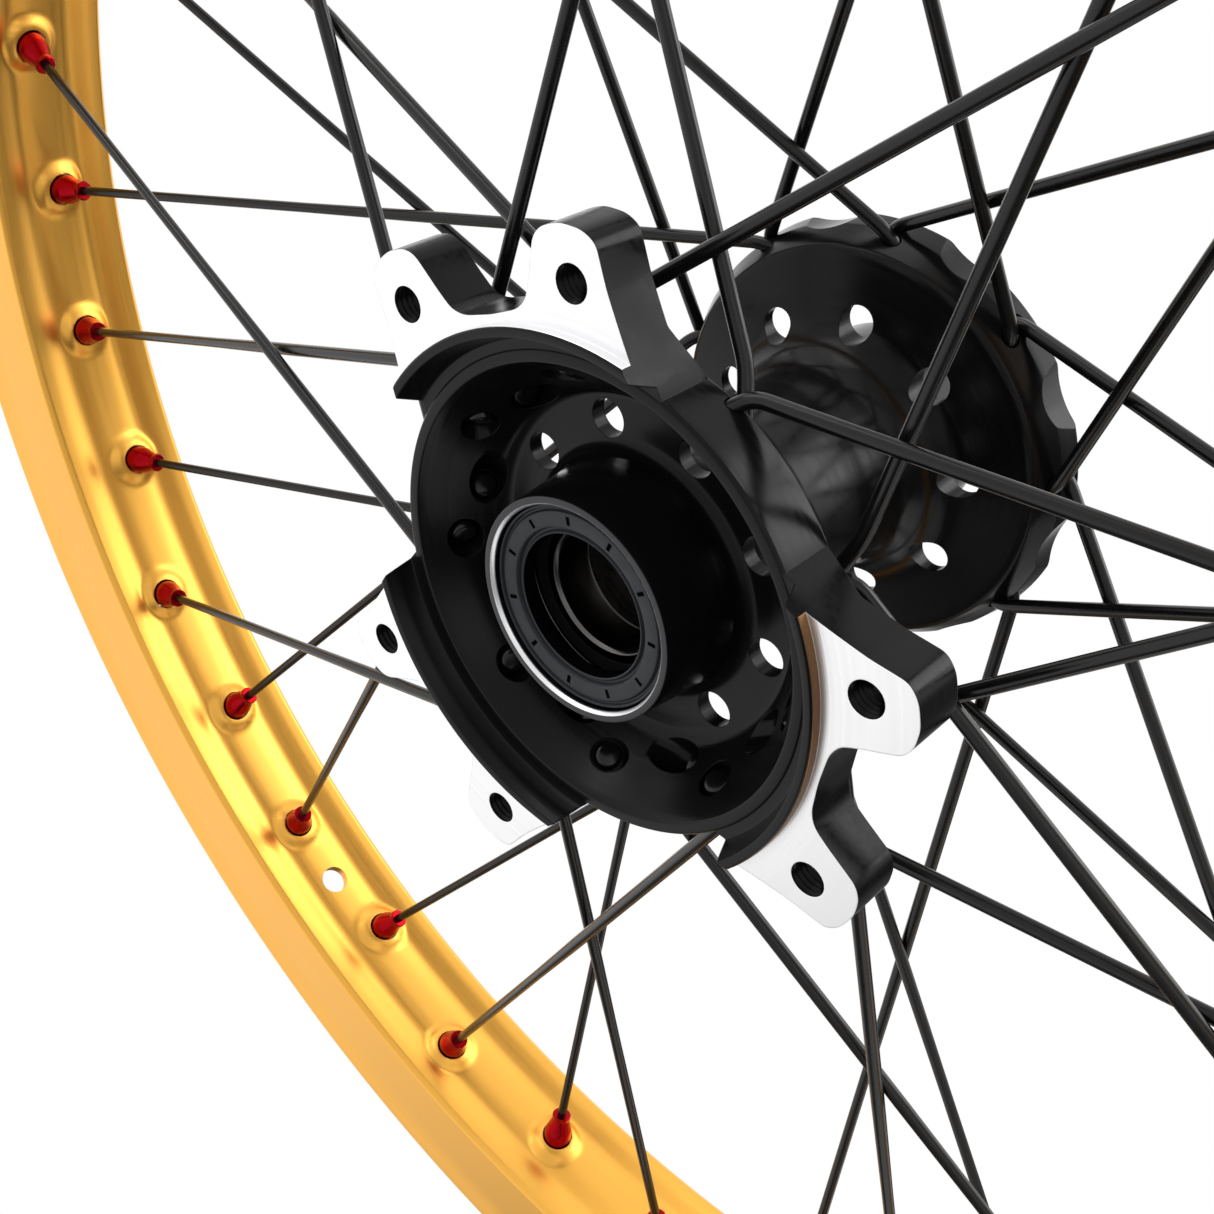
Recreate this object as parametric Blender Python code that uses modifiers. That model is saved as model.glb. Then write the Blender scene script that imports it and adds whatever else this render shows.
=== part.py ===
"""Spoked front wheel of a light motorcycle: gold rim, 36 crossed spokes, dished disc-brake hub.

Lengths below are in millimetres and become metres when geometry is made. The wheel turns about
the Y axis. The brake side faces -Y. Axial positions are given as a depth, measured from the disc
mounting face towards the plain side.
"""

from math import cos, radians, sin

import bmesh
import bpy
from mathutils import Vector

MM = 0.001
GAP = 0.3  # clearance between neighbouring pieces
FACE_Y = -52.0  # Y of the disc mounting face
MID_DEPTH = 48.5  # rim centre line

# Spoke layout
PAIRS = 9  # crossed spoke pairs on each flange
NIPPLE_R = 250.0  # radius of the nipple seats
NIPPLE_0 = 134.8  # angle of the first nipple
NIPPLE_STEP = 10.0
NIPPLE_OFFSET = 2.1  # nipples sit this far either side of the rim centre
SPOKE_R = 1.5
HEAD_R = 2.7
HEAD_LENGTH = 2.6
HEAD_SINK = 1.5  # the head stops this far past the mouth of its hole
HEAD_SEAT_R = 3.8
NIPPLE_TIP_R = 3.0
NIPPLE_BODY_R = 4.1
NIPPLE_HEAD_R = 5.1
# One row for each of the four spoke positions in a 40 degree group: nipple number, side,
# turn from nipple to elbow, elbow radius and depth, turn from elbow to head, head radius and
# depth, and the shift of the nipple along the axle.
SPOKE_KINDS = (
    (0, "brake_lead", 53.6, 52.0, 17.4, 8.0, 41.0, 11.2, -1.6),
    (1, "plain_trail", -50.0, 48.4, 92.4, -9.5, 39.5, 96.2, -1.3),
    (2, "brake_trail", -39.6, 52.0, 22.2, -17.0, 39.6, 16.2, 1.6),
    (3, "plain_lead", 50.0, 48.8, 96.0, 9.5, 40.5, 98.2, 1.3),
)

# Disc lugs, three pairs
LUG_R = 64.0
LUG_PAIR_0 = 77.6
LUG_HALF_SPREAD = 20.0
LUG_THICK = 11.0
LUG_HOLE_R = 3.4
# Outline of one half of a lug pair: radius and angle from the middle of the pair.
LUG_OUTLINE = (
    (56.6, 0.0), (57.4, 7.0), (59.2, 9.6), (63.0, 11.0), (70.6, 12.9), (72.6, 14.6),
    (73.9, 18.0), (73.8, 21.8), (72.4, 24.2), (69.5, 25.2), (65.3, 26.8), (59.5, 30.2),
    (55.5, 33.2), (52.0, 36.8), (48.4, 40.5),
)

# Web holes
WEB_HOLE_R = 3.9
BRAKE_WEB = (30.7, 35.0)  # radius and angle of the first lightening hole
PLAIN_WEB = (30.3, 14.5)
SCALLOP_R = 24.0
SCALLOP_AT = (71.2, 34.8)

# Bearings
BEARING_BORE_R = 12.5
INNER_RACE_R = 15.0
OUTER_RACE_BORE_R = 18.7
BEARING_R = 20.7
BEARING_W = 9.0
BALL_CIRCLE_R = 16.85
BALL_R = 1.5
BALLS = 9
BRAKE_BEARING = 8.4  # depth of the outer face
PLAIN_BEARING = 96.6

HUB_STEPS = 45
RIM_STEPS = 60
RING_STEPS = 24

# Hub section: outside from the plain end to the brake end, then back through the bore.
HUB_PROFILE = (
    (22.9, 105.5), (24.4, 90.2), (25.6, 88.6), (35.0, 88.6), (36.6, 92.4), (45.4, 100.2),
    (48.4, 100.8), (48.9, 100.1), (48.0, 94.5), (44.8, 89.0), (43.6, 88.5), (29.6, 85.0),
    (25.4, 81.4), (22.8, 76.0), (21.6, 66.0), (21.6, 33.0), (23.4, 25.6), (26.2, 22.8),
    (36.4, 22.8), (42.0, 25.0), (49.4, 16.4), (49.4, 4.3), (48.9, 3.7), (46.7, 3.7),
    (37.4, 18.2), (35.6, 19.5),
    (26.6, 19.5), (24.4, 17.6), (22.9, -0.6), (21.5, -0.6), (21.0, 0.1), (21.0, 17.7),
    (18.0, 17.7), (18.0, 87.3), (21.0, 87.3), (21.0, 104.8), (21.5, 105.5),
)
# Disc carrier: spigot, lug faces and the ramp behind them.
CROWN_PROFILE = (
    (80.0, 11.0), (80.0, 0.0), (55.0, 0.0), (55.0, -2.0), (54.6, -2.4), (53.0, -2.2),
    (51.2, 3.8), (47.4, 4.0), (47.4, 17.5), (50.0, 15.8), (57.5, 11.0),
)
# Rim half section, tyre side then hub side: radius and distance from the centre line.
RIM_TYRE_SIDE = (
    (279.6, 20.2), (281.0, 18.8), (280.0, 17.0), (267.3, 15.6), (266.6, 12.6), (253.9, 10.6),
)
RIM_HUB_SIDE = (
    (250.3, 4.2), (251.3, 8.6), (249.6, 13.6), (249.3, 17.6), (250.8, 19.0), (272.0, 19.2),
)
DIMPLE_R = 7.4
DIMPLE_RISE = 1.5
VALVE_AT = 6.5  # nipple spaces from the first nipple
VALVE_HOLE_R = 4.2

MATERIALS = {
    "gold_anodised": ((0.80, 0.43, 0.08), 0.34, 1.0),
    "black_anodised": ((0.02, 0.02, 0.022), 0.30, 1.0),
    "black_spoke": ((0.02, 0.02, 0.022), 0.28, 0.9),
    "bearing_steel": ((0.55, 0.55, 0.56), 0.22, 1.0),
    "seal_rubber": ((0.06, 0.065, 0.075), 0.55, 0.0),
    "cage_brass": ((0.60, 0.42, 0.16), 0.35, 1.0),
    "spacer_alloy": ((0.45, 0.45, 0.46), 0.40, 1.0),
}


def clear_scene():
    for obj in list(bpy.data.objects):
        bpy.data.objects.remove(obj, do_unlink=True)


def collection(name):
    made = bpy.data.collections.new(name)
    bpy.context.scene.collection.children.link(made)
    return made


def material(name):
    colour, roughness, metallic = MATERIALS[name]
    made = bpy.data.materials.get(name) or bpy.data.materials.new(name)
    made.use_nodes = True
    shader = made.node_tree.nodes["Principled BSDF"]
    shader.inputs["Base Color"].default_value = (*colour, 1.0)
    shader.inputs["Roughness"].default_value = roughness
    shader.inputs["Metallic"].default_value = metallic
    return made


def place(radius, angle, depth):
    """World point at a radius, an angle in degrees and a depth behind the disc face."""
    turn = radians(angle)
    return Vector((radius * cos(turn), FACE_Y + depth, radius * sin(turn))) * MM


def add(name, data, group, finish=None):
    obj = bpy.data.objects.new(name, data)
    group.objects.link(obj)
    if finish:
        data.materials.append(material(finish))
    else:
        obj.hide_render = True
        obj.display_type = "WIRE"
    return obj


def turned(name, profile, group, finish=None, steps=RING_STEPS):
    """A closed section of radius and depth, swept round the Y axis."""
    mesh = bpy.data.meshes.new(name)
    points = [(r * MM, 0.0, (FACE_Y + depth) * MM) for r, depth in profile]
    count = len(points)
    mesh.from_pydata(points, [(i, (i + 1) % count) for i in range(count)], [])
    obj = add(name, mesh, group, finish)
    obj.rotation_euler = (radians(-90), 0.0, 0.0)
    screw = obj.modifiers.new("Turn", "SCREW")
    screw.axis = "Z"
    screw.angle = radians(360)
    screw.steps = screw.render_steps = steps
    screw.use_merge_vertices = True
    screw.merge_threshold = 0.00001
    screw.use_smooth_shade = True
    return obj


def rod(name, start, end, radius, group, sides=12):
    """A closed cylinder between two world points."""
    mesh = bpy.data.meshes.new(name)
    body = bmesh.new()
    bmesh.ops.create_cone(
        body, cap_ends=True, segments=sides, radius1=radius * MM, radius2=radius * MM,
        depth=(end - start).length,
    )
    body.to_mesh(mesh)
    body.free()
    obj = add(name, mesh, group)
    obj.location = (start + end) / 2
    obj.rotation_mode = "QUATERNION"
    obj.rotation_quaternion = (end - start).to_track_quat("Z", "Y")
    return obj


def plate(name, outline, front, back, group):
    """A closed slab with the given outline of radius and angle, between two depths."""
    curve = bpy.data.curves.new(name, "CURVE")
    curve.dimensions = "2D"
    curve.fill_mode = "BOTH"
    curve.extrude = (back - front) / 2 * MM
    line = curve.splines.new("POLY")
    line.points.add(len(outline) - 1)
    line.use_cyclic_u = True
    for point, (r, angle) in zip(line.points, outline):
        turn = radians(angle)
        point.co = (r * cos(turn) * MM, r * sin(turn) * MM, 0.0, 1.0)
    obj = add(name, curve, group)
    obj.location = (0.0, (FACE_Y + (front + back) / 2) * MM, 0.0)
    obj.rotation_euler = (radians(90), 0.0, 0.0)
    return as_mesh(obj, group)


def as_mesh(obj, group):
    """Swaps a curve for a welded mesh of the same shape."""
    bpy.context.view_layer.update()
    graph = bpy.context.evaluated_depsgraph_get()
    mesh = bpy.data.meshes.new_from_object(obj.evaluated_get(graph))
    body = bmesh.new()
    body.from_mesh(mesh)
    bmesh.ops.remove_doubles(body, verts=body.verts, dist=0.00001)
    bmesh.ops.recalc_face_normals(body, faces=body.faces)
    body.to_mesh(mesh)
    body.free()
    name, matrix = obj.name, obj.matrix_world.copy()
    bpy.data.objects.remove(obj, do_unlink=True)
    made = add(name, mesh, group)
    made.matrix_world = matrix
    return made


def boolean(obj, tool, operation):
    step = obj.modifiers.new(tool.name, "BOOLEAN")
    step.operation = operation
    step.solver = "EXACT"
    if isinstance(tool, bpy.types.Collection):
        step.operand_type = "COLLECTION"
        step.collection = tool
    else:
        step.object = tool
    return step


def lug_outline(middle):
    mirrored = [(r, middle - angle) for r, angle in LUG_OUTLINE[:0:-1]]
    return mirrored + [(r, middle + angle) for r, angle in LUG_OUTLINE] + [
        (44.0, middle + 42.0), (44.0, middle + 21.0), (44.0, middle),
        (44.0, middle - 21.0), (44.0, middle - 42.0),
    ]


def spoke_points(kind, group):
    """Head, elbow and nipple seat of one spoke, as world points."""
    number, _, turn, elbow_r, elbow_d, back, head_r, head_d, shift = kind
    nipple = NIPPLE_0 + (4 * group + number) * NIPPLE_STEP
    side = -1.0 if number % 2 == 0 else 1.0
    seat = place(NIPPLE_R, nipple, MID_DEPTH + side * NIPPLE_OFFSET + shift)
    elbow = place(elbow_r, nipple + turn, elbow_d)
    head = place(head_r, nipple + turn + back, head_d)
    return head, elbow, seat


def spoke(kind, group, parts):
    """A spoke with its head at the hub and its nipple screwed on at the rim."""
    head, elbow, seat = spoke_points(kind, group)
    into_hub = (elbow - head).normalized()
    along = (seat - elbow).normalized()
    base = head + into_hub * HEAD_SINK * MM
    rows = (
        (base, HEAD_R),
        (base + into_hub * (HEAD_LENGTH - 0.4) * MM, HEAD_R),
        (base + into_hub * HEAD_LENGTH * MM, SPOKE_R),
        (elbow, SPOKE_R),
        (seat - along * 10.8 * MM, SPOKE_R),
        (seat - along * 10.2 * MM, NIPPLE_TIP_R),
        (seat - along * 4.0 * MM, NIPPLE_BODY_R),
        (seat + along * 5.4 * MM, NIPPLE_BODY_R),
        (seat + along * 5.9 * MM, NIPPLE_HEAD_R),
        (seat + along * 7.8 * MM, NIPPLE_HEAD_R),
    )
    name = f"spoke_{kind[1]}_{group + 1}"
    curve = bpy.data.curves.new(name, "CURVE")
    curve.dimensions = "3D"
    curve.bevel_depth = MM
    curve.bevel_resolution = 1
    curve.use_fill_caps = True
    line = curve.splines.new("POLY")
    line.points.add(len(rows) - 1)
    for point, (place_at, radius) in zip(line.points, rows):
        point.co = (*place_at, 1.0)
        point.radius = radius
    return add(name, curve, parts, "black_spoke")


def rim(parts):
    """The rolled ring with a pressed dimple at each nipple, drilled for nipples and valve."""
    half = [(r, MID_DEPTH + y) for r, y in RIM_TYRE_SIDE]
    other = [(r, MID_DEPTH - y) for r, y in reversed(RIM_TYRE_SIDE)]
    under = [(r, MID_DEPTH - y) for r, y in reversed(RIM_HUB_SIDE)]
    back = [(r, MID_DEPTH + y) for r, y in RIM_HUB_SIDE]
    ring = turned("rim", half + other + under + back, parts, "gold_anodised", RIM_STEPS)
    bosses = collection("rim_dimples")
    holes = collection("rim_holes")
    for group in range(PAIRS):
        for kind in SPOKE_KINDS:
            _, elbow, seat = spoke_points(kind, group)
            along = (seat - elbow).normalized()
            tag = f"{kind[1]}_{group + 1}"
            rod(f"dimple_{tag}", seat - along * DIMPLE_RISE * MM, seat + along * 3.0 * MM,
                DIMPLE_R, bosses, 8)
            rod(f"nipple_hole_{tag}", seat - along * 6.0 * MM, seat + along * 9.0 * MM,
                NIPPLE_BODY_R + GAP + 0.1, holes, 8)
    valve = NIPPLE_0 + VALVE_AT * NIPPLE_STEP
    rod("valve_hole", place(240.0, valve, MID_DEPTH), place(262.0, valve, MID_DEPTH),
        VALVE_HOLE_R, holes)
    boolean(ring, bosses, "UNION")
    boolean(ring, holes, "DIFFERENCE")


def hub(parts, cutters):
    """Barrel, two flanges and the disc carrier, drilled for spokes, disc bolts and lightness."""
    shell = turned("hub_shell", HUB_PROFILE, parts, "black_anodised", HUB_STEPS)
    crowns = collection("disc_crowns")
    holes = collection("hub_holes")
    for pair in range(3):
        middle = LUG_PAIR_0 + 120.0 * pair
        outline = plate(f"lug_plate_{pair + 1}", lug_outline(middle), -3.0, 19.0, cutters)
        crown = turned(f"crown_{pair + 1}", CROWN_PROFILE, crowns, None, HUB_STEPS)
        boolean(crown, outline, "INTERSECT")
        for side in (-1, 1):
            angle = middle + side * LUG_HALF_SPREAD
            rod(f"disc_hole_{pair + 1}_{side}", place(LUG_R, angle, -4.0),
                place(LUG_R, angle, LUG_THICK + 4.0), LUG_HOLE_R, holes, 16)
    for index in range(PAIRS):
        turn = index * 360.0 / PAIRS
        r, angle = BRAKE_WEB
        rod(f"brake_web_hole_{index + 1}", place(r, angle + turn, 17.0),
            place(r, angle + turn, 29.0), WEB_HOLE_R, holes, 10)
        r, angle = PLAIN_WEB
        rod(f"plain_web_hole_{index + 1}", place(r, angle + turn, 80.0),
            place(r, angle + turn, 96.0), WEB_HOLE_R, holes, 10)
        r, angle = SCALLOP_AT
        rod(f"scallop_{index + 1}", place(r, angle + turn, 84.0),
            place(r, angle + turn, 104.0), SCALLOP_R, holes, 22)
        for kind in SPOKE_KINDS:
            head, elbow, _ = spoke_points(kind, index)
            along = (elbow - head).normalized()
            tag = f"{kind[1]}_{index + 1}"
            rod(f"head_seat_{tag}", head - along * 9.0 * MM,
                head + along * (HEAD_SINK + HEAD_LENGTH + GAP) * MM, HEAD_SEAT_R, holes, 8)
            rod(f"spoke_hole_{tag}", head, elbow + along * 3.0 * MM,
                SPOKE_R + GAP + 0.1, holes, 6)
    boolean(shell, crowns, "UNION")
    boolean(shell, holes, "DIFFERENCE")


def bearing(side, outer_face, inward, parts):
    """Races, ball ring, shield and seal at one end; inward is +1 at the brake end, -1 at the other."""
    def ring(name, section, finish):
        rows = [(r, outer_face + inward * depth) for r, depth in section]
        if inward > 0:
            rows.reverse()
        return turned(f"{side}_{name}", rows, parts, finish)

    chamfer = 0.5
    ring("inner_race", (
        (INNER_RACE_R, 0.0), (INNER_RACE_R, BEARING_W), (BEARING_BORE_R, BEARING_W),
        (BEARING_BORE_R, chamfer), (BEARING_BORE_R + chamfer, 0.0),
    ), "bearing_steel")
    ring("outer_race", (
        (BEARING_R, 0.0), (BEARING_R, BEARING_W),
        (OUTER_RACE_BORE_R, BEARING_W), (OUTER_RACE_BORE_R, 0.0),
    ), "bearing_steel")
    ring("bearing_shield", (
        (OUTER_RACE_BORE_R - GAP, 0.4), (OUTER_RACE_BORE_R - GAP, 1.4),
        (INNER_RACE_R + GAP, 1.4), (INNER_RACE_R + GAP, 0.4),
    ), "seal_rubber")
    middle = BEARING_W / 2 + 0.5
    cage = ring("ball_cage", (
        (BALL_CIRCLE_R + 0.5, middle - 0.6), (BALL_CIRCLE_R + 0.5, middle + 0.6),
        (BALL_CIRCLE_R - 0.5, middle + 0.6), (BALL_CIRCLE_R - 0.5, middle - 0.6),
    ), "cage_brass")
    balls = collection(f"{side}_balls")
    for index in range(BALLS):
        mesh = bpy.data.meshes.new(f"{side}_ball_{index + 1}")
        body = bmesh.new()
        bmesh.ops.create_uvsphere(body, u_segments=6, v_segments=4, radius=BALL_R * MM)
        body.to_mesh(mesh)
        body.free()
        ball = add(mesh.name, mesh, balls)
        ball.location = place(BALL_CIRCLE_R, index * 360.0 / BALLS,
                              outer_face + inward * middle)
    boolean(cage, balls, "UNION")
    ring("dust_seal", (
        (20.7, -7.6), (20.7, -0.6), (18.6, -0.6), (18.6, -5.4), (15.9, -5.4), (15.0, -3.6),
        (14.4, -3.9), (14.6, -6.6), (15.6, -6.9), (16.0, -7.3),
    ), "seal_rubber")


def main():
    clear_scene()
    parts = collection("spoked_wheel")
    cutters = collection("cutters")
    hub(parts, cutters)
    rim(parts)
    for group in range(PAIRS):
        for kind in SPOKE_KINDS:
            spoke(kind, group, parts)
    bearing("brake", BRAKE_BEARING, 1, parts)
    bearing("plain", PLAIN_BEARING, -1, parts)
    inner = BRAKE_BEARING + BEARING_W + GAP
    outer = PLAIN_BEARING - BEARING_W - GAP
    turned("axle_spacer", (
        (INNER_RACE_R, outer), (INNER_RACE_R, inner),
        (BEARING_BORE_R + 0.1, inner), (BEARING_BORE_R + 0.1, outer),
    ), parts, "spacer_alloy")


main()
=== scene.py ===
"""Looks of the spoked wheel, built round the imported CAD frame.

The wheel's lengths are in millimetres; the floor, the lights and the camera are in metres.
"""

from math import atan2, cos, hypot, inf, pi, radians, sin  # noqa: E402

import bmesh  # noqa: E402
import bpy  # noqa: E402
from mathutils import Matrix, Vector  # noqa: E402


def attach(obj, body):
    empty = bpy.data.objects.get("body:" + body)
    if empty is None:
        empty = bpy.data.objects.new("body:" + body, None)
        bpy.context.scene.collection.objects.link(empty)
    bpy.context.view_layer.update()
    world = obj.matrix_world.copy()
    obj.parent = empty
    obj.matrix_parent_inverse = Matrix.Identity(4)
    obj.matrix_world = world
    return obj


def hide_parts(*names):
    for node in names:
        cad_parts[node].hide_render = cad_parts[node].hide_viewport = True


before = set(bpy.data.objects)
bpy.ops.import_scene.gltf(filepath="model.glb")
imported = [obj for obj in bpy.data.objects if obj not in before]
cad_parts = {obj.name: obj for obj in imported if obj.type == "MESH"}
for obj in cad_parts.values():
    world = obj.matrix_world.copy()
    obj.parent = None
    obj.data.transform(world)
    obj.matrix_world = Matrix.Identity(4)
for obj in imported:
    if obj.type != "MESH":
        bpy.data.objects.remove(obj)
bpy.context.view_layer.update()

scene = bpy.context.scene

MM = 0.001

# ---------------------------------------------------------------- dimensions shared with the CAD
# Depths run along the axle from the disc face, which stands at FACE_Y.
FACE_Y = -52.0
MID_DEPTH = 48.5
PAIRS = 9
NIPPLE_R = 250.0
NIPPLE_0 = 134.8
NIPPLE_STEP = 10.0
NIPPLE_OFFSET = 2.1
SPOKE_R = 1.5
HEAD_R = 2.7
HEAD_LENGTH = 2.6
HEAD_SINK = 1.5
HEAD_SEAT_R = 3.8
GAP = 0.3
# The wire bends within this length of its elbow, and its outer half is this much thinner.
BEND = 2.6
WIRE_CUT = 0.2
# Number, name, turn from nipple to elbow, elbow radius and depth, turn on to the head, head radius
# and depth, and the side shift of the nipple.
SPOKE_KINDS = (
    (0, "brake_lead", 53.6, 52.0, 17.4, 8.0, 41.0, 11.2, -1.6),
    (1, "plain_trail", -50.0, 48.4, 92.4, -9.5, 39.5, 96.2, -1.3),
    (2, "brake_trail", -39.6, 52.0, 22.2, -17.0, 39.6, 16.2, 1.6),
    (3, "plain_lead", 50.0, 48.8, 96.0, 9.5, 40.5, 98.2, 1.3),
)
# Distance past the seat on the rim, and radius.
NIPPLE_ROWS = (
    (-10.4, 1.7), (-10.4, 2.5), (-10.1, 2.8), (-9.1, 2.8), (-8.7, 2.5), (-7.8, 2.7), (-5.0, 3.7),
    (-4.0, 4.05), (-3.0, 4.15), (5.4, 4.15), (5.9, 4.9), (6.3, 5.1), (7.4, 5.0), (7.8, 4.5),
    (7.9, 2.0),
)
LUG_R = 64.0
LUG_PAIR_0 = 77.6
LUG_THICK = 11.0
LUG_OUTLINE = (
    (56.6, 0.0), (57.4, 7.0), (59.2, 9.6), (63.0, 11.0), (70.6, 12.9), (72.6, 14.6),
    (73.9, 18.0), (73.8, 21.8), (72.4, 24.2), (69.5, 25.2), (65.3, 26.8), (59.5, 30.2),
    (55.5, 33.2), (52.0, 36.8), (48.4, 40.5),
)
LUG_HALF_ANGLE = 20.0
LUG_ROOT_R = 44.0
SPIGOT_R = 55.0
# Radius and first angle of each ring of holes or cuts in the two flanges.
WEB_HOLE_AT = (30.7, 35.0)
BACK_HOLE_AT = (30.3, 14.5)
SCALLOP_AT = (71.2, 34.8)
WEB_HOLE_R = 3.9
SCALLOP_R = 24.0
THREAD_PITCH = 1.25
THREAD_ROOT_R = 4.0
THREAD_CREST_R = 3.35

# Section points carry the length cut from each corner when it is rounded.
HUB_PROFILE = (
    (22.9, 105.5, 0.3), (24.4, 90.2, 0.8), (25.6, 88.6, 0.8), (35.0, 88.6, 0.8),
    (36.6, 92.4, 0.8), (45.4, 100.2, 0.4), (48.4, 100.8, 0.3), (48.9, 100.1, 0.3),
    (48.0, 94.5, 0.3), (44.8, 89.0, 0.5), (43.6, 88.5, 0.5), (29.6, 85.0, 2.0),
    (25.4, 81.4, 2.2), (22.8, 76.0, 2.0), (21.6, 66.0, 2.0), (21.6, 33.0, 1.5),
    (23.4, 25.6, 1.5), (26.2, 22.8, 1.2), (36.4, 22.8, 1.2), (42.0, 25.0, 1.2),
    (49.4, 16.4, 0.4), (49.4, 4.3, 0.2), (48.9, 3.7, 0.2), (46.7, 3.7, 0.3),
    (37.4, 18.2, 1.0), (35.6, 19.5, 0.9), (26.6, 19.5, 1.0), (24.4, 17.6, 1.4),
    (22.9, -0.6, 0.15), (21.5, -0.6, 0.08),
    (21.0, 0.1, 0.2), (21.0, 17.7, 0.0), (18.0, 17.7, 0.0), (18.0, 87.3, 0.0),
    (21.0, 87.3, 0.0), (21.0, 104.8, 0.2), (21.5, 105.5, 0.08),
)
CROWN_PROFILE = (
    (80.0, LUG_THICK, 0.0), (80.0, 0.0, 0.0), (SPIGOT_R, 0.0, 0.0), (SPIGOT_R, -2.0, 0.1),
    (54.6, -2.4, 0.1), (53.0, -2.2, 0.2), (51.2, 3.8, 0.3), (47.4, 4.0, 0.0), (47.4, 17.5, 0.0),
    (50.0, 15.8, 0.0), (57.5, LUG_THICK, 0.5),
)
RIM_TYRE_SIDE = (
    (279.6, 20.2, 0.6), (281.0, 18.8, 0.8), (280.0, 17.0, 0.6), (267.3, 15.6, 1.2),
    (266.6, 12.6, 0.8), (253.9, 10.6, 2.0),
)
RIM_HUB_SIDE = (
    (250.3, 4.2, 3.6), (251.3, 8.6, 2.2), (249.6, 13.6, 2.2), (249.3, 17.6, 0.5),
    (250.8, 19.0, 0.5), (272.0, 19.2, 4.0),
)
DIMPLE_R = 8.4
DIMPLE_TOP_R = 5.0
DIMPLE_RISE = 1.5
VALVE_AT = 6.5
NIPPLE_HOLE_R = 4.6
VALVE_HOLE_R = 4.2

BEARING_WIDTH = 9.0
BRAKE_BEARING_D = 8.4
PLAIN_BEARING_D = 96.6
BALLS = 9
BALL_R = 1.5
BALL_RING_R = 16.85
BALL_DEPTH = 5.0
SEAL_TICKS = 11


# ---------------------------------------------------------------- mesh helpers
def rounded(points, steps=3):
    """The closed outline with each corner curved; a point is x, y and the length cut."""
    out = []
    count = len(points)
    for i, (x, y, cut) in enumerate(points):
        here = Vector((x, y))
        before = Vector(points[i - 1][:2])
        after = Vector(points[(i + 1) % count][:2])
        if not cut:
            out.append((x, y))
            continue
        a = before - here
        b = after - here
        start = here + a.normalized() * min(cut, a.length * 0.45)
        end = here + b.normalized() * min(cut, b.length * 0.45)
        for s in range(steps + 1):
            t = s / steps
            p = start * (1 - t) ** 2 + here * 2 * t * (1 - t) + end * t ** 2
            out.append((p.x, p.y))
    return out


def divided(section, longest, within=inf):
    """The closed section with each side inside a radius cut into pieces of about one length."""
    out = []
    for (x0, y0), (x1, y1) in zip(section, section[1:] + section[:1]):
        cuts = max(1, round(hypot(x1 - x0, y1 - y0) / longest)) if max(x0, x1) < within else 1
        out += [(x0 + (x1 - x0) * k / cuts, y0 + (y1 - y0) * k / cuts) for k in range(cuts)]
    return out


def place(radius, angle, depth):
    """A point in metres from its radius, its angle round the axle and its depth along it."""
    turn = radians(angle)
    return Vector((radius * cos(turn), FACE_Y + depth, radius * sin(turn))) * MM


def new_object(name, mesh, finish=None):
    obj = bpy.data.objects.new(name, mesh)
    scene.collection.objects.link(obj)
    if finish:
        mesh.materials.append(finish)
    return obj


def shade(obj, angle=30):
    for face in obj.data.polygons:
        face.use_smooth = True
    obj.data.set_sharp_from_angle(angle=radians(angle))
    return obj


def turn_outward(mesh):
    body = bmesh.new()
    body.from_mesh(mesh)
    bmesh.ops.recalc_face_normals(body, faces=body.faces)
    body.to_mesh(mesh)
    body.free()


def lathe(name, section, finish=None, steps=180):
    """A closed section of radius and depth swept round the Y axis."""
    mesh = bpy.data.meshes.new(name)
    n = len(section)
    verts = [place(r, 360.0 * k / steps, d) for k in range(steps) for r, d in section]
    faces = [
        (k * n + i, k * n + (i + 1) % n, ((k + 1) % steps) * n + (i + 1) % n,
         ((k + 1) % steps) * n + i)
        for k in range(steps) for i in range(n)
    ]
    mesh.from_pydata(verts, [], faces)
    turn_outward(mesh)
    return shade(new_object(name, mesh, finish))


def rod_rows(name, rows, finish=None, sides=24):
    """A turned rod along a path: rows of centre point, direction and radius."""
    body = bmesh.new()
    rings = []
    across = None
    for centre, along, radius in rows:
        if across is None:
            across = along.orthogonal().normalized()
        across = (across - along * across.dot(along)).normalized()
        other = along.cross(across)
        rings.append([
            body.verts.new(centre + (across * cos(2 * pi * k / sides)
                                     + other * sin(2 * pi * k / sides)) * radius * MM)
            for k in range(sides)
        ])
    for one, two in zip(rings, rings[1:]):
        for k in range(sides):
            body.faces.new((one[k], one[(k + 1) % sides], two[(k + 1) % sides], two[k]))
    body.faces.new(rings[0])
    body.faces.new(rings[-1])
    bmesh.ops.recalc_face_normals(body, faces=body.faces)
    mesh = bpy.data.meshes.new(name)
    body.to_mesh(mesh)
    body.free()
    return shade(new_object(name, mesh, finish), 40)


def rod(name, start, end, radius, sides=32):
    along = (end - start).normalized()
    return rod_rows(name, ((start, along, radius), (end, along, radius)), None, sides)


def prism(name, outline, front, back):
    """A slab whose outline is x, z in millimetres, between two depths."""
    n = len(outline)
    verts = [Vector((x, FACE_Y + d, z)) * MM for d in (front, back) for x, z in outline]
    faces = [tuple(range(n)), tuple(range(2 * n - 1, n - 1, -1))]
    faces += [(i, i + n, (i + 1) % n + n, (i + 1) % n) for i in range(n)]
    mesh = bpy.data.meshes.new(name)
    mesh.from_pydata(verts, [], faces)
    turn_outward(mesh)
    return new_object(name, mesh)


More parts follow.
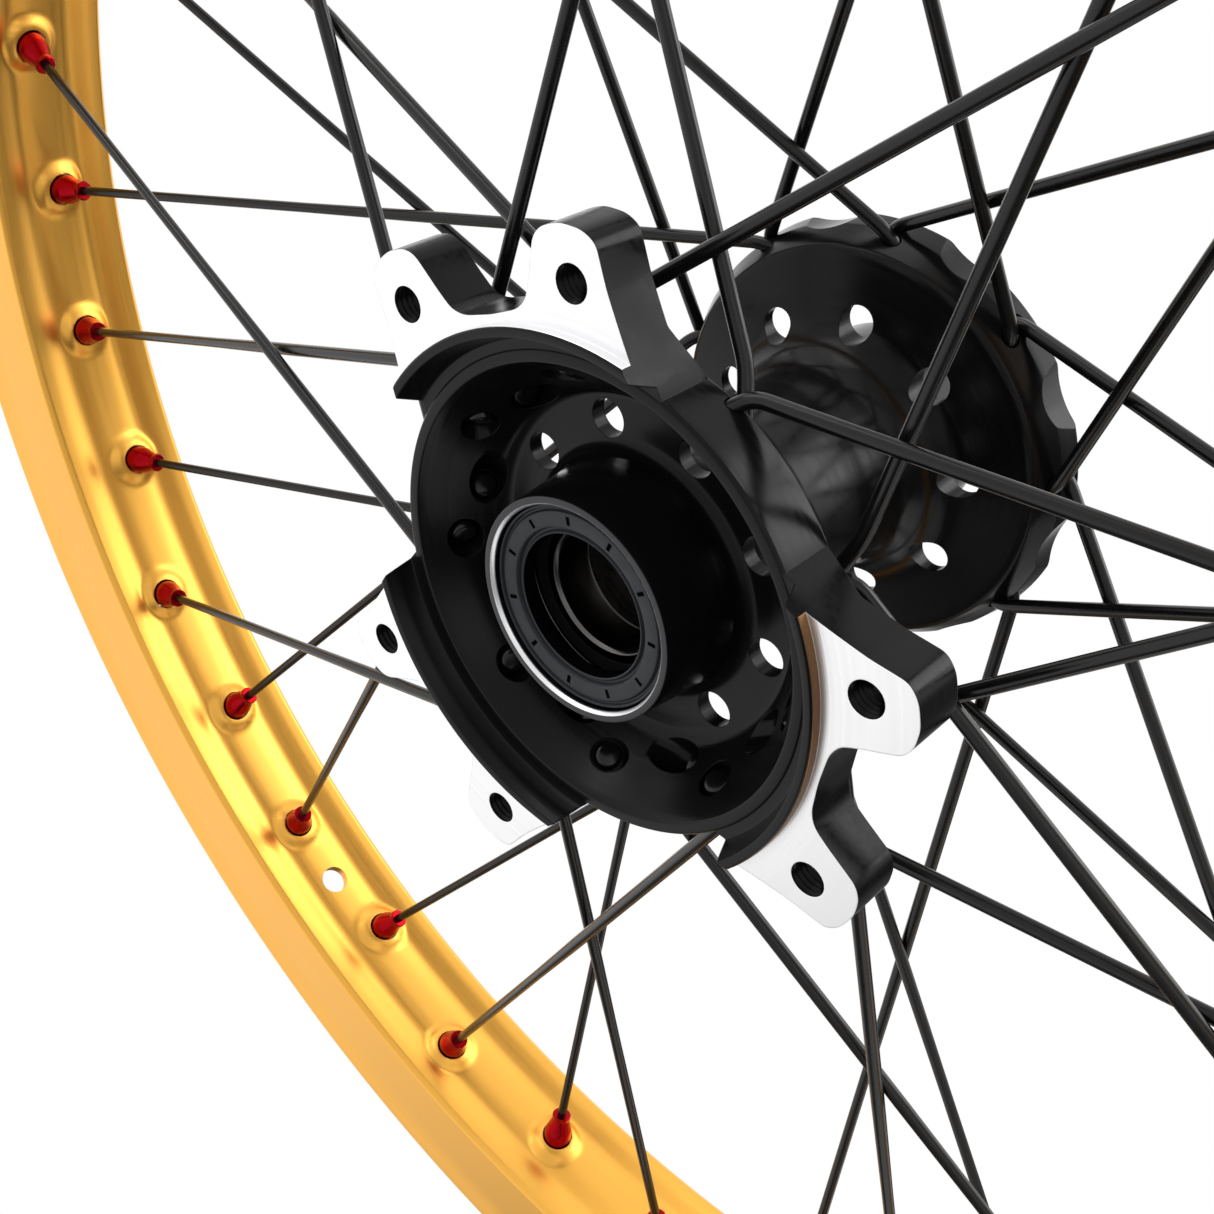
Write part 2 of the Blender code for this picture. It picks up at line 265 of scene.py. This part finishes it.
def combine(obj, tools, operation):
    """Runs one Boolean with several closed tools, keeps the result and removes the tools."""
    group = bpy.data.collections.new(obj.name + "_tools")
    scene.collection.children.link(group)
    for tool in tools:
        group.objects.link(tool)
    step = obj.modifiers.new("Boolean", "BOOLEAN")
    step.operation = operation
    step.solver = "MANIFOLD"
    step.operand_type = "COLLECTION"
    step.collection = group
    bpy.context.view_layer.update()
    graph = bpy.context.evaluated_depsgraph_get()
    mesh = bpy.data.meshes.new_from_object(obj.evaluated_get(graph))
    obj.modifiers.clear()
    finishes = list(obj.data.materials)
    obj.data = mesh
    mesh.materials.clear()
    for finish in finishes:
        mesh.materials.append(finish)
    for tool in tools:
        bpy.data.objects.remove(tool, do_unlink=True)
    bpy.data.collections.remove(group)
    return obj


def spoke_points(kind, group):
    """Head, elbow and nipple seat of one spoke."""
    number, _, turn, elbow_r, elbow_d, back, head_r, head_d, shift = kind
    nipple = NIPPLE_0 + (4 * group + number) * NIPPLE_STEP
    side = -1.0 if number % 2 == 0 else 1.0
    seat = place(NIPPLE_R, nipple, MID_DEPTH + side * NIPPLE_OFFSET + shift)
    elbow = place(elbow_r, nipple + turn, elbow_d)
    head = place(head_r, nipple + turn + back, head_d)
    return head, elbow, seat


# ---------------------------------------------------------------- materials
def node_material(name, colour, roughness, metallic):
    finish = bpy.data.materials.new(name)
    finish.use_nodes = True
    shader = finish.node_tree.nodes["Principled BSDF"]
    shader.inputs["Base Color"].default_value = (*colour, 1.0)
    shader.inputs["Roughness"].default_value = roughness
    shader.inputs["Metallic"].default_value = metallic
    return finish, finish.node_tree, shader


def noise(tree, vector, scale, detail=3.0):
    made = tree.nodes.new("ShaderNodeTexNoise")
    made.inputs["Scale"].default_value = scale
    made.inputs["Detail"].default_value = detail
    tree.links.new(vector, made.inputs["Vector"])
    return made.outputs["Fac"]


def math_node(tree, operation, *values):
    """The result of one Math node, whose inputs are sockets or numbers."""
    made = tree.nodes.new("ShaderNodeMath")
    made.operation = operation
    for socket, value in zip(made.inputs, values):
        if isinstance(value, float):
            socket.default_value = value
        else:
            tree.links.new(value, socket)
    return made.outputs[0]


def ranged(tree, value, start, end, low, high, curve="LINEAR"):
    """Carries a value between start and end over to low and high, and holds it beyond them."""
    made = tree.nodes.new("ShaderNodeMapRange")
    made.interpolation_type = curve
    made.inputs["From Min"].default_value = start
    made.inputs["From Max"].default_value = end
    made.inputs["To Min"].default_value = low
    made.inputs["To Max"].default_value = high
    tree.links.new(value, made.inputs["Value"])
    return made.outputs["Result"]


def spread(tree, value, low, high):
    """Carries noise, which mostly lies between 0.3 and 0.7, over to a range."""
    return ranged(tree, value, 0.3, 0.7, low, high)


def two_tone(tree, value, one, two):
    made = tree.nodes.new("ShaderNodeMix")
    made.data_type = "RGBA"
    made.inputs[6].default_value = (*one, 1.0)
    made.inputs[7].default_value = (*two, 1.0)
    tree.links.new(value, made.inputs["Factor"])
    return made.outputs[2]


def bump(tree, shader, value, strength, distance, under=None):
    made = tree.nodes.new("ShaderNodeBump")
    made.inputs["Strength"].default_value = strength
    made.inputs["Distance"].default_value = distance
    tree.links.new(value, made.inputs["Height"])
    if under:
        tree.links.new(under, made.inputs["Normal"])
    tree.links.new(made.outputs["Normal"], shader.inputs["Normal"])
    return made


def turned_coordinates(tree, around=0.4):
    """Radius, depth and a little angle, so that noise runs as rings round the axle."""
    spot = tree.nodes.new("ShaderNodeTexCoord").outputs["Object"]
    parts = tree.nodes.new("ShaderNodeSeparateXYZ")
    tree.links.new(spot, parts.inputs[0])
    square = tree.nodes.new("ShaderNodeCombineXYZ")
    tree.links.new(parts.outputs["X"], square.inputs["X"])
    tree.links.new(parts.outputs["Z"], square.inputs["Y"])
    length = tree.nodes.new("ShaderNodeVectorMath")
    length.operation = "LENGTH"
    tree.links.new(square.outputs[0], length.inputs[0])
    angle = math_node(tree, "ARCTAN2", parts.outputs["Z"], parts.outputs["X"])
    rings = tree.nodes.new("ShaderNodeCombineXYZ")
    tree.links.new(length.outputs["Value"], rings.inputs["X"])
    tree.links.new(parts.outputs["Y"], rings.inputs["Y"])
    tree.links.new(math_node(tree, "MULTIPLY", angle, around * MM), rings.inputs["Z"])
    return rings.outputs[0], spot, length.outputs["Value"], angle


def radial_tangent(tree, shader, amount):
    made = tree.nodes.new("ShaderNodeTangent")
    made.direction_type = "RADIAL"
    made.axis = "Y"
    shader.inputs["Anisotropic"].default_value = amount
    tree.links.new(made.outputs[0], shader.inputs["Tangent"])


def turned_metal(name, one, two, rough, metallic, aniso, groove, shine=0.5):
    """A turned surface: fine rings in its gloss and relief, soft patches in its colour."""
    finish, tree, shader = node_material(name, one, sum(rough) / 2, metallic)
    shader.inputs["Specular IOR Level"].default_value = shine
    rings, spot, _, _ = turned_coordinates(tree)
    fine = noise(tree, rings, 5200.0, 2.0)
    broad = noise(tree, rings, 900.0, 2.0)
    patches = noise(tree, spot, 60.0, 3.0)
    tree.links.new(two_tone(tree, patches, one, two), shader.inputs["Base Color"])
    tree.links.new(spread(tree, broad, *rough), shader.inputs["Roughness"])
    soft = tree.nodes.new("ShaderNodeBevel")
    soft.samples = 4
    soft.inputs["Radius"].default_value = 0.3 * MM
    bump(tree, shader, fine, groove, 0.02 * MM, soft.outputs["Normal"])
    if aniso:
        radial_tangent(tree, shader, aniso)
    return finish


# Two colours, the range of roughness, metal, anisotropy, depth of the grooves and shine.
black_anodised = turned_metal(
    "black_anodised", (0.003, 0.003, 0.0033), (0.005, 0.005, 0.0055), (0.14, 0.24), 0.0, 0.6,
    0.3, 0.15)
bare_face = turned_metal(
    "bare_face", (0.91, 0.91, 0.92), (0.95, 0.95, 0.96), (0.26, 0.38), 0.9, 0.5, 0.35)
boss_face = turned_metal(
    "boss_face", (0.045, 0.045, 0.048), (0.06, 0.06, 0.063), (0.30, 0.40), 1.0, 0.3, 0.2)
# Painted reflection: the bare machined spigot wall is tinted brown as a reflection of the gold rim.
spigot_painted_reflection = turned_metal(
    "spigot_painted_reflection", (0.20, 0.10, 0.04), (0.36, 0.20, 0.10), (0.25, 0.35), 1.0, 0.5, 0.3)
bearing_steel = turned_metal(
    "bearing_steel", (0.10, 0.095, 0.09), (0.15, 0.145, 0.14), (0.14, 0.24), 1.0, 0.6, 0.2)
spacer_alloy = turned_metal(
    "spacer_alloy", (0.30, 0.29, 0.28), (0.38, 0.37, 0.36), (0.22, 0.34), 1.0, 0.5, 0.4)
cage_brass = turned_metal(
    "cage_brass", (0.55, 0.36, 0.12), (0.62, 0.43, 0.16), (0.25, 0.38), 1.0, 0.2, 0.2)
shield_rubber = turned_metal(
    "shield_rubber", (0.010, 0.010, 0.012), (0.016, 0.016, 0.019), (0.38, 0.50), 0.0, 0.0,
    0.1, 0.25)


def gold_finish():
    """Satin gold anodising over a rolled and polished rim."""
    finish, tree, shader = node_material("gold_anodised", (0.85, 0.45, 0.07), 0.36, 1.0)
    rings, spot, _, _ = turned_coordinates(tree, 4.0)
    patches = noise(tree, spot, 18.0, 3.0)
    lines = noise(tree, rings, 1500.0, 3.0)
    grit = noise(tree, spot, 5200.0, 2.0)
    tree.links.new(two_tone(tree, patches, (0.90, 0.455, 0.075), (0.93, 0.49, 0.09)),
                   shader.inputs["Base Color"])
    tree.links.new(spread(tree, lines, 0.33, 0.41), shader.inputs["Roughness"])
    fine = bump(tree, shader, grit, 0.12, 0.03 * MM)
    bump(tree, shader, lines, 0.10, 0.04 * MM, fine.outputs["Normal"])
    return finish


def spoke_finish():
    """Gloss black plating over drawn wire."""
    finish, tree, shader = node_material("black_spoke", (0.005, 0.005, 0.005), 0.2, 0.0)
    shader.inputs["Specular IOR Level"].default_value = 0.35
    spot = tree.nodes.new("ShaderNodeTexCoord").outputs["Object"]
    mottle = noise(tree, spot, 240.0, 3.0)
    grit = noise(tree, spot, 2600.0, 2.0)
    tree.links.new(two_tone(tree, mottle, (0.003, 0.003, 0.003), (0.007, 0.0065, 0.0065)),
                   shader.inputs["Base Color"])
    tree.links.new(spread(tree, mottle, 0.16, 0.26), shader.inputs["Roughness"])
    bump(tree, shader, grit, 0.08, 0.03 * MM)
    return finish


def nipple_finish():
    """Bright red anodising over turned alloy."""
    finish, tree, shader = node_material("red_nipple", (0.35, 0.004, 0.009), 0.26, 1.0)
    spot = tree.nodes.new("ShaderNodeTexCoord").outputs["Object"]
    mottle = noise(tree, spot, 300.0, 3.0)
    grit = noise(tree, spot, 3000.0, 2.0)
    tree.links.new(two_tone(tree, mottle, (0.30, 0.003, 0.008), (0.40, 0.005, 0.011)),
                   shader.inputs["Base Color"])
    tree.links.new(spread(tree, mottle, 0.20, 0.32), shader.inputs["Roughness"])
    bump(tree, shader, grit, 0.1, 0.03 * MM)
    return finish


def seal_finish():
    """Blue-grey seal rubber with short moulded ticks round its face, and painted shade on the lip's
    inner face.
    """
    finish, tree, shader = node_material("seal_rubber", (0.017, 0.019, 0.024), 0.5, 0.0)
    _, spot, radius, angle = turned_coordinates(tree)
    mottle = noise(tree, spot, 500.0, 4.0)
    grit = noise(tree, spot, 4000.0, 2.0)
    turns = math_node(tree, "MULTIPLY", angle, SEAL_TICKS / (2 * pi))
    beside_tick = ranged(tree, math_node(tree, "PINGPONG", turns, 0.5), 0.034, 0.048, 0.0, 1.0)
    in_band = math_node(tree, "COMPARE", radius, 17.75 * MM, 0.9 * MM)
    plain = math_node(tree, "MAXIMUM", beside_tick, math_node(tree, "SUBTRACT", 1.0, in_band))
    # Painted shade: inside 14.7 mm, in the bore opening, the lip's inner face turns near-black and
    # loses its shine.
    clear_of_lip_shade = math_node(tree, "GREATER_THAN", radius, 14.7 * MM)
    pale = math_node(tree, "MULTIPLY", plain, clear_of_lip_shade)
    rubber = two_tone(tree, mottle, (0.014, 0.015, 0.019), (0.021, 0.023, 0.028))
    mix = tree.nodes.new("ShaderNodeMix")
    mix.data_type = "RGBA"
    # Near-black for the moulded ticks and for the painted shade inside the lip.
    mix.inputs[6].default_value = (0.002, 0.002, 0.002, 1.0)
    tree.links.new(rubber, mix.inputs[7])
    tree.links.new(pale, mix.inputs["Factor"])
    tree.links.new(mix.outputs[2], shader.inputs["Base Color"])
    tree.links.new(math_node(tree, "MULTIPLY", pale, 0.3), shader.inputs["Specular IOR Level"])
    tree.links.new(spread(tree, mottle, 0.42, 0.56), shader.inputs["Roughness"])
    low = bump(tree, shader, grit, 0.15, 0.04 * MM)
    bump(tree, shader, plain, 0.6, 0.2 * MM, low.outputs["Normal"])
    return finish


gold_anodised = gold_finish()
black_spoke = spoke_finish()
red_nipple = nipple_finish()
seal_rubber = seal_finish()


# ---------------------------------------------------------------- hub
def lug_outline(middle):
    """Rounded outline of a lug pair, closed inside the hub."""
    right = [(r, middle + a) for r, a in LUG_OUTLINE]
    left = [(r, middle - a) for r, a in LUG_OUTLINE[:0:-1]]
    flat = [(r * cos(radians(a)), r * sin(radians(a)), 1.6) for r, a in left + right]
    inner = [(LUG_ROOT_R * cos(radians(middle + a)), LUG_ROOT_R * sin(radians(middle + a)), 0.0)
             for a in range(42, -43, -12)]
    return rounded(flat + inner, steps=4)


def threaded_cutter(name, angle):
    """The space inside a tapped disc hole, with its thread crests as close rings."""
    d = 0.15
    rows = [(-3.0, THREAD_ROOT_R), (d - 0.5, THREAD_ROOT_R), (d, THREAD_CREST_R)]
    while d < LUG_THICK + 1.0:
        rows += [(d + THREAD_PITCH * 0.45, THREAD_ROOT_R), (d + THREAD_PITCH, THREAD_CREST_R)]
        d += THREAD_PITCH
    rows.append((LUG_THICK + 3.0, THREAD_CREST_R))
    along = Vector((0.0, 1.0, 0.0))
    return rod_rows(name, [(place(LUG_R, angle, d), along, r) for d, r in rows], None, 28)


def crisp_scallops(shell):
    """Marks the shallow edges between the scallops and the outside of the plain flange as sharp."""
    body = bmesh.new()
    body.from_mesh(shell.data)
    for edge in body.edges:
        middle = (edge.verts[0].co + edge.verts[1].co) / 2 / MM
        radius, depth = hypot(middle.x, middle.z), middle.y - FACE_Y
        if radius > 46.8 and 92.0 < depth < 100.4 and edge.calc_face_angle(0.0) > radians(4.5):
            edge.smooth = False
    body.to_mesh(shell.data)
    body.free()


def hub_holes():
    """Cutters of the disc holes, web holes, scallops, spoke head seats and spoke holes."""
    holes = []
    for pair in range(3):
        for side in (-LUG_HALF_ANGLE, LUG_HALF_ANGLE):
            holes.append(threaded_cutter(f"thread_{pair}_{side}",
                                         LUG_PAIR_0 + 120.0 * pair + side))
    for index in range(PAIRS):
        turn = index * 360.0 / PAIRS
        for tag, (radius, first), near, far, size, sides in (
            ("web", WEB_HOLE_AT, 17.0, 29.0, WEB_HOLE_R, 32),
            ("back", BACK_HOLE_AT, 80.0, 96.0, WEB_HOLE_R, 32),
            ("scallop", SCALLOP_AT, 84.0, 104.0, SCALLOP_R, 128),
        ):
            holes.append(rod(f"{tag}_{index}", place(radius, first + turn, near),
                             place(radius, first + turn, far), size, sides))
        for kind in SPOKE_KINDS:
            head, elbow, _ = spoke_points(kind, index)
            along = (elbow - head).normalized()
            holes.append(rod(f"seat_{index}_{kind[1]}", head - along * 9.0 * MM,
                             head + along * (HEAD_SINK + HEAD_LENGTH + GAP) * MM, HEAD_SEAT_R))
            holes.append(rod(f"bore_{index}_{kind[1]}", head, elbow + along * 3.0 * MM,
                             SPOKE_R + GAP, 20))
    return holes


def hub_finish(face):
    """The material of a hub face: 0 black, 1 bare metal, 2 dull boss, 3 spigot wall tinted brown as
    a painted reflection of the gold rim.
    """
    centre = face.center / MM
    radius, depth = hypot(centre.x, centre.z), centre.y - FACE_Y
    forward = -face.normal.y
    if forward > 0.98 and radius > SPIGOT_R - 0.1 and abs(depth) < 0.05:
        return 1
    if abs(radius - SPIGOT_R) < 0.1 and -2.1 < depth < 0.0:
        # Below 25 mm up, the spigot wall is tinted brown as a painted reflection of the gold rim;
        # higher up it stays bare metal.
        return 1 if centre.z > 25.0 else 3
    if radius < 21.6 and -0.7 < depth < 0.8 and forward < 0.98:
        return 1
    if forward > 0.9 and 21.0 < radius < 23.0 and depth < 0.0:
        return 2
    if radius < 21.1 and 0.0 < depth < 8.0:
        return 2
    return 0


def build_hub():
    """The turned shell with three pairs of disc lugs joined on and every hole cut."""
    shell = lathe("hub_body", divided(rounded(HUB_PROFILE), 2.0), black_anodised, 180)
    crowns = []
    for pair in range(3):
        middle = LUG_PAIR_0 + 120.0 * pair
        crown = lathe(f"crown_{pair}", divided(rounded(CROWN_PROFILE), 2.5), None, 180)
        crowns.append(combine(crown, [prism(f"plate_{pair}", lug_outline(middle), -3.0, 19.0)],
                              "INTERSECT"))
    combine(shell, crowns, "UNION")
    combine(shell, hub_holes(), "DIFFERENCE")
    for finish in (bare_face, boss_face, spigot_painted_reflection):
        shell.data.materials.append(finish)
    for face in shell.data.polygons:
        face.material_index = hub_finish(face)
    shade(shell, 32)
    crisp_scallops(shell)
    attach(shell, "wheel")
    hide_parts("hub_shell")


# ---------------------------------------------------------------- rim
def rim_section():
    """The closed section of the rim, the same on both sides of its middle."""
    top = [(r, MID_DEPTH + y, c) for r, y, c in RIM_TYRE_SIDE]
    low = [(r, MID_DEPTH - y, c) for r, y, c in reversed(RIM_TYRE_SIDE)]
    under = [(r, MID_DEPTH - y, c) for r, y, c in reversed(RIM_HUB_SIDE)]
    back = [(r, MID_DEPTH + y, c) for r, y, c in RIM_HUB_SIDE]
    return rounded(top + low + under + back, steps=6)


def nipple_axes():
    """Name, seat and direction of each nipple, in order round the rim."""
    for group in range(PAIRS):
        for kind in SPOKE_KINDS:
            _, elbow, seat = spoke_points(kind, group)
            yield f"{kind[1]}_{group + 1}", seat, (seat - elbow).normalized()


def build_rim():
    """The rolled ring with a pressed dimple at each nipple, drilled for nipples and valve."""
    ring = lathe("rim_body", divided(rim_section(), 1.1, 253.0), gold_anodised, 1080)
    seats = [(seat, along) for _, seat, along in nipple_axes()]
    for vertex in ring.data.vertices:
        co = vertex.co
        radius = hypot(co.x, co.z)
        if radius > (NIPPLE_R + 2.5) * MM:
            continue
        turn = (atan2(co.z, co.x) / radians(NIPPLE_STEP) - NIPPLE_0 / NIPPLE_STEP) % len(seats)
        seat, along = seats[round(turn) % len(seats)]
        away = ((co - seat) - along * (co - seat).dot(along)).length / MM
        if away < DIMPLE_R:
            t = min(1.0, (DIMPLE_R - away) / (DIMPLE_R - DIMPLE_TOP_R))
            top = NIPPLE_R - DIMPLE_RISE
            wanted = radius / MM + (top - radius / MM) * t * t * (3 - 2 * t)
            if wanted < radius / MM:
                scale = wanted * MM / radius
                vertex.co = (co.x * scale, co.y, co.z * scale)
    holes = [
        rod(f"drill_{tag}", seat - along * 6.0 * MM, seat + along * 9.0 * MM, NIPPLE_HOLE_R)
        for tag, seat, along in nipple_axes()
    ]
    valve = NIPPLE_0 + VALVE_AT * NIPPLE_STEP
    holes.append(rod("valve", place(NIPPLE_R - 10.0, valve, MID_DEPTH),
                     place(NIPPLE_R + 12.0, valve, MID_DEPTH), VALVE_HOLE_R, 40))
    combine(ring, holes, "DIFFERENCE")
    shade(ring, 40)
    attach(ring, "wheel")
    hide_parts("rim")


# ---------------------------------------------------------------- spokes and nipples
def build_spokes():
    """Each spoke as a headed, bent wire and its nipple."""
    for group in range(PAIRS):
        for kind in SPOKE_KINDS:
            head, elbow, seat = spoke_points(kind, group)
            node = f"spoke_{kind[1]}_{group + 1}"
            start = (elbow - head).normalized()
            along = (seat - elbow).normalized()
            tip = seat - along * 8.0 * MM
            rows = [
                (head + start * (HEAD_SINK + d) * MM, start, r)
                for d, r in ((0.0, 1.9), (0.25, 2.5), (0.6, HEAD_R), (1.6, HEAD_R),
                             (2.5, SPOKE_R + 0.05), (3.0, SPOKE_R))
            ]
            for step in range(9):
                t = step / 8
                point = ((elbow - start * BEND * MM) * (1 - t) ** 2 + elbow * 2 * t * (1 - t)
                         + (elbow + along * BEND * MM) * t ** 2)
                rows.append((point, start.lerp(along, t).normalized(), SPOKE_R))
            length = (tip - elbow).length
            for t in (0.15, 0.3, 0.45, 0.6, 0.8, 1.0):
                thin = SPOKE_R if t < 0.5 else SPOKE_R - WIRE_CUT
                rows.append((elbow + along * length * t, along, thin))
            wire = rod_rows(node + "_wire", rows, black_spoke, 20)
            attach(wire, "wheel")
            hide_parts(node)
            nut = rod_rows(node + "_nipple",
                           [(seat + along * a * MM, along, r) for a, r in NIPPLE_ROWS],
                           red_nipple, 28)
            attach(nut, "wheel")
            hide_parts(node)


# ---------------------------------------------------------------- bearings and seals
def build_bearing(side, outer_face, inward):
    """One bearing and the seal before it; depths run inward from the bearing's outer face."""
    def ring(tag, section, finish, slot, node, body):
        rows = rounded([(r, outer_face + inward * d, c) for r, d, c in section])
        piece = lathe(f"{side}_{tag}", rows, finish, 128)
        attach(piece, body)
        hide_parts(node)

    ring("inner_ring", (
        (15.0, 0.0, 0.25), (15.0, BEARING_WIDTH, 0.25), (12.5, BEARING_WIDTH, 0.2),
        (12.5, 0.7, 0.15), (13.1, 0.0, 0.15),
    ), bearing_steel, "bearing_steel", f"{side}_inner_race", "axle_core")
    ring("outer_ring", (
        (20.7, 0.0, 0.3), (20.7, BEARING_WIDTH, 0.3), (18.7, BEARING_WIDTH, 0.2),
        (18.7, 0.0, 0.2),
    ), bearing_steel, "bearing_steel", f"{side}_outer_race", "wheel")
    ring("shield", (
        (18.4, 0.45, 0.2), (18.4, 1.4, 0.1), (15.3, 1.4, 0.1), (15.3, 0.4, 0.2),
        (16.0, 0.6, 0.2), (17.6, 0.6, 0.2),
    ), shield_rubber, "seal_rubber", f"{side}_bearing_shield", "wheel")
    ring("lip_seal", (
        (20.7, -7.4, 0.2), (20.7, -0.6, 0.2), (19.0, -0.6, 0.2), (18.8, -5.6, 0.3),
        (16.2, -5.6, 0.3), (15.2, -3.7, 0.2), (14.4, -3.9, 0.15), (14.5, -6.6, 0.15),
        (15.0, -6.9, 0.15), (15.4, -6.2, 0.15), (15.9, -6.2, 0.15), (16.2, -7.2, 0.2),
        (19.3, -7.3, 0.2), (19.6, -6.7, 0.15), (20.0, -6.7, 0.15), (20.2, -7.4, 0.15),
    ), seal_rubber, "seal_rubber", f"{side}_dust_seal", "wheel")
    ring("cage", (
        (17.35, 4.4, 0.1), (17.35, 5.6, 0.1), (16.35, 5.6, 0.1), (16.35, 4.4, 0.1),
    ), cage_brass, "cage_brass", f"{side}_ball_cage", f"{side}_balls")
    for index in range(BALLS):
        mesh = bpy.data.meshes.new(f"{side}_ball_{index + 1}")
        body = bmesh.new()
        bmesh.ops.create_uvsphere(body, u_segments=24, v_segments=16, radius=BALL_R * MM)
        body.to_mesh(mesh)
        body.free()
        ball = new_object(mesh.name, mesh, bearing_steel)
        ball.location = place(BALL_RING_R, index * 360.0 / BALLS,
                              outer_face + inward * BALL_DEPTH)
        shade(ball)
        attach(ball, f"{side}_balls")
        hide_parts(f"{side}_ball_cage")


def build_spacer():
    """The tube between the two inner races."""
    inner = BRAKE_BEARING_D + BEARING_WIDTH + GAP
    outer = PLAIN_BEARING_D - BEARING_WIDTH - GAP
    rows = rounded(((15.0, outer, 0.3), (15.0, inner, 0.3), (12.6, inner, 0.3),
                    (12.6, outer, 0.3)))
    tube = lathe("spacer_tube", rows, spacer_alloy, 96)
    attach(tube, "axle_core")
    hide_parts("axle_spacer")


build_hub()
build_rim()
build_spokes()
build_bearing("brake", BRAKE_BEARING_D, 1)
build_bearing("plain", PLAIN_BEARING_D, -1)
build_spacer()


# ---------------------------------------------------------------- floor, light and camera
def build_floor():
    mesh = bpy.data.meshes.new("floor")
    half, low = 0.32, -0.60
    mesh.from_pydata([(-half, -half, low), (half, -half, low), (half, half, low),
                      (-half, half, low)], [], [(0, 1, 2, 3)])
    finish, _, _ = node_material("floor_white", (0.9, 0.9, 0.9), 0.8, 0.0)
    new_object("floor", mesh, finish)


def area_light(name, place_at, size, power):
    """A rectangular lamp that faces the hub."""
    data = bpy.data.lights.new(name, "AREA")
    data.shape = "RECTANGLE"
    data.size, data.size_y = size
    data.energy = power
    lamp = bpy.data.objects.new(name, data)
    scene.collection.objects.link(lamp)
    lamp.location = place_at
    lamp.rotation_mode = "QUATERNION"
    lamp.rotation_quaternion = Vector(place_at).to_track_quat("Z", "Y")


def toward(tree, way, direction, start, end, near, far):
    """A soft change of strength as a ray turns toward one direction; start and end are cosines."""
    product = tree.nodes.new("ShaderNodeVectorMath")
    product.operation = "DOT_PRODUCT"
    product.inputs[1].default_value = direction
    tree.links.new(way, product.inputs[0])
    return ranged(tree, product.outputs["Value"], start, end, near, far, "SMOOTHSTEP")


def build_world():
    """White to the eye; to the metal, a bright room, dimmer before the hub and dark below."""
    world = bpy.data.worlds.new("studio")
    scene.world = world
    world.use_nodes = True
    tree = world.node_tree
    seen = tree.nodes.new("ShaderNodeLightPath").outputs["Is Camera Ray"]
    way = tree.nodes.new("ShaderNodeTexCoord").outputs["Generated"]
    strength = None
    # Direction, the cosines where the change starts and ends, and the strength at each.
    for direction, start, end, near, far in (
        ((0.766, -0.627, 0.14), 0.42, 0.85, 1.15, 0.78),
        ((0.50, 0.86, -0.08), 0.86, 0.98, 1.0, 2.2),
        ((0.96, -0.26, -0.09), 0.88, 0.98, 1.0, 1.5),
        ((0.0, 0.0, -1.0), 0.25, 0.65, 1.0, 0.12),
    ):
        part = toward(tree, way, direction, start, end, near, far)
        strength = math_node(tree, "MULTIPLY", strength, part) if strength else part
    room = tree.nodes["Background"]
    room.inputs["Color"].default_value = (1.0, 1.0, 1.0, 1.0)
    tree.links.new(strength, room.inputs["Strength"])
    white = tree.nodes.new("ShaderNodeBackground")
    white.inputs["Color"].default_value = (1.0, 1.0, 1.0, 1.0)
    mix = tree.nodes.new("ShaderNodeMixShader")
    tree.links.new(seen, mix.inputs[0])
    tree.links.new(room.outputs[0], mix.inputs[1])
    tree.links.new(white.outputs[0], mix.inputs[2])
    tree.links.new(mix.outputs[0], tree.nodes["World Output"].inputs[0])


def build_camera():
    data = bpy.data.cameras.new("camera")
    camera = bpy.data.objects.new("camera", data)
    scene.collection.objects.link(camera)
    camera.location = (0.2247, -0.2283, 0.0470)
    camera.rotation_euler = (radians(81.245), radians(23.481), radians(47.186))
    data.sensor_width = 36.0
    data.lens = 46.38
    data.shift_x = 0.0149
    data.shift_y = -0.0350
    data.clip_start = 0.01
    scene.camera = camera


build_floor()
build_world()
area_light("right", (1.1, 1.15, 0.15), (0.6, 1.0), 5.5)
area_light("top", (0.1, -0.1, 1.5), (1.1, 0.8), 5.0)
build_camera()
scene.view_settings.view_transform = "Standard"
